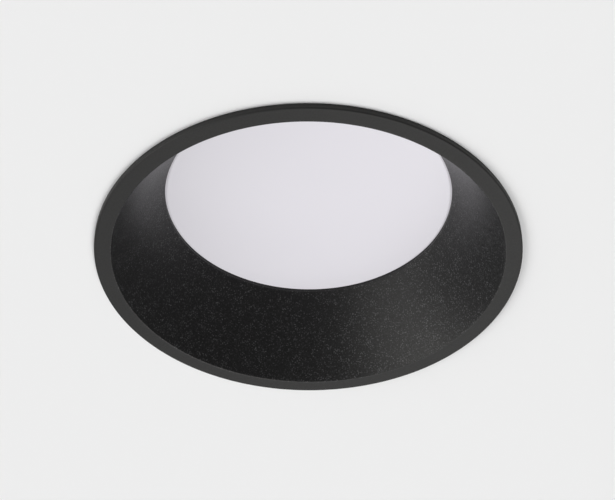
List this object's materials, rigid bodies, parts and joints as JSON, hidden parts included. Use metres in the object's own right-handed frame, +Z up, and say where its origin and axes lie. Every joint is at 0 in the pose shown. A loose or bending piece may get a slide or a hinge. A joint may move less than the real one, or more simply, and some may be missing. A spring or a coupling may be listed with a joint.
{
  "type": "recessed soffit downlight",
  "caption": "Round recessed soffit downlight: thin flange, deep black conical baffle, flat opal diffuser, finned body with a lidded driver box, cable gland and two spring clips.",
  "frame": {"origin": "centre of the soffit cut-out, in the plane where the back of the flange seats on the soffit's visible face", "axes": "+Z up into the soffit void along the cut-out's axis, light leaves along -Z; +X through the right spring clip; +Y towards the cable gland"},
  "size_m": [0.2202, 0.165, 0.089],
  "materials": {
    "black_powder_coat": "matte",
    "heat_sink_black": "satin",
    "box_black": "matte",
    "foam_rubber": "matte",
    "black_rubber": "matte",
    "gland_rubber": "matte",
    "silicone": "satin",
    "thermal_silicone": "matte",
    "opal_acrylic": "satin",
    "white_plastic": "satin",
    "white_board": "satin",
    "green_board": "satin",
    "led_phosphor": "satin",
    "ivory_plastic": "satin",
    "black_epoxy": "satin",
    "blue_epoxy": "satin",
    "fuse_ceramic": "satin",
    "capacitor_sleeve": "satin",
    "ferrite": "matte",
    "winding_tape": "satin",
    "copper_enamel": "satin",
    "wire_insulation": "satin",
    "earth_insulation": "satin",
    "brass_screws": "satin",
    "brass_tag": "satin",
    "black_polyamide": "satin",
    "grey_acetal": "satin",
    "zinc_steel": "satin",
    "stainless_steel": "satin",
    "spring_steel": "satin",
    "clear_pad": "satin"
  },
  "bodies": {
    "housing": {"trim": "black_powder_coat", "soffit_gasket": "foam_rubber", "diffuser": "opal_acrylic", "diffuser_seal": "silicone", "reflector_cup": "white_plastic", "led_board": "white_board", "led_packages": "led_phosphor", "led_connector": "ivory_plastic", "led_board_screws": "zinc_steel", "thermal_pad": "thermal_silicone", "heat_sink": "heat_sink_black", "heat_sink_fins": "heat_sink_black", "body_seal": "black_rubber", "body_screws": "stainless_steel", "wire_grommet": "black_rubber", "led_wires": "wire_insulation", "driver_box": "box_black", "driver_box_screws": "zinc_steel", "driver_board": "green_board", "driver_board_screws": "zinc_steel", "transformer_core": "ferrite", "transformer_winding": "winding_tape", "input_capacitor": "capacitor_sleeve", "output_capacitors": "capacitor_sleeve", "choke_core": "ferrite", "choke_winding": "copper_enamel", "fuse": "fuse_ceramic", "varistor": "blue_epoxy", "bridge_rectifier": "black_epoxy", "terminal_block": "ivory_plastic", "terminal_screws": "brass_screws", "earth_tag": "brass_tag", "earth_screw": "stainless_steel", "earth_wire": "earth_insulation", "lid_seal": "silicone", "lid_hinge_pin": "stainless_steel", "gland_body": "black_polyamide", "gland_washer": "black_rubber", "gland_locknut": "black_polyamide", "gland_seal": "gland_rubber", "clip_bracket_right": "zinc_steel", "clip_screws_right": "stainless_steel", "clip_pin_right": "stainless_steel", "clip_spring_right": "spring_steel", "clip_bracket_left": "zinc_steel", "clip_screws_left": "stainless_steel", "clip_pin_left": "stainless_steel", "clip_spring_left": "spring_steel"},
    "lid": {"lid": "box_black", "lid_screws": "stainless_steel"},
    "gland_ring": {"gland_thrust_ring": "grey_acetal"},
    "gland_nut": {"gland_nut": "black_polyamide"},
    "clip_right": {"clip_arm_right": "zinc_steel", "clip_pad_right": "clear_pad"},
    "clip_left": {"clip_arm_left": "zinc_steel", "clip_pad_left": "clear_pad"}
  },
  "joints": [
    {"name": "clip_right_pivot", "type": "hinge", "parent": "housing", "child": "clip_right", "pos_m": [0.07062, 0, 0.028], "axis": [0, -1, 0], "range_deg": [0, 119], "stiffness_Nm_per_rad": 0.15, "springref_deg": -95.68, "deforming": ["clip_spring_right"]},
    {"name": "clip_left_pivot", "type": "hinge", "parent": "housing", "child": "clip_left", "pos_m": [-0.07062, 0, 0.028], "axis": [0, 1, 0], "range_deg": [0, 119], "stiffness_Nm_per_rad": 0.15, "springref_deg": -95.68, "deforming": ["clip_spring_left"]},
    {"name": "lid_hinge", "type": "hinge", "parent": "housing", "child": "lid", "pos_m": [0, -0.038, 0.08], "axis": [1, 0, 0], "range_deg": [0, 110]},
    {"name": "gland_ring_travel", "type": "slide", "parent": "housing", "child": "gland_ring", "axis": [0, 1, 0], "range_m": [0, 0.0045]},
    {"name": "gland_nut_turn", "type": "hinge", "parent": "gland_ring", "child": "gland_nut", "pos_m": [0, 0.045, 0.0675], "axis": [0, 1, 0], "range_deg": [0, 1081]}
  ],
  "couplings": [
    {"joint": "gland_nut_turn", "follows": "gland_ring_travel", "rad_per_m": 4188.8}
  ]
}
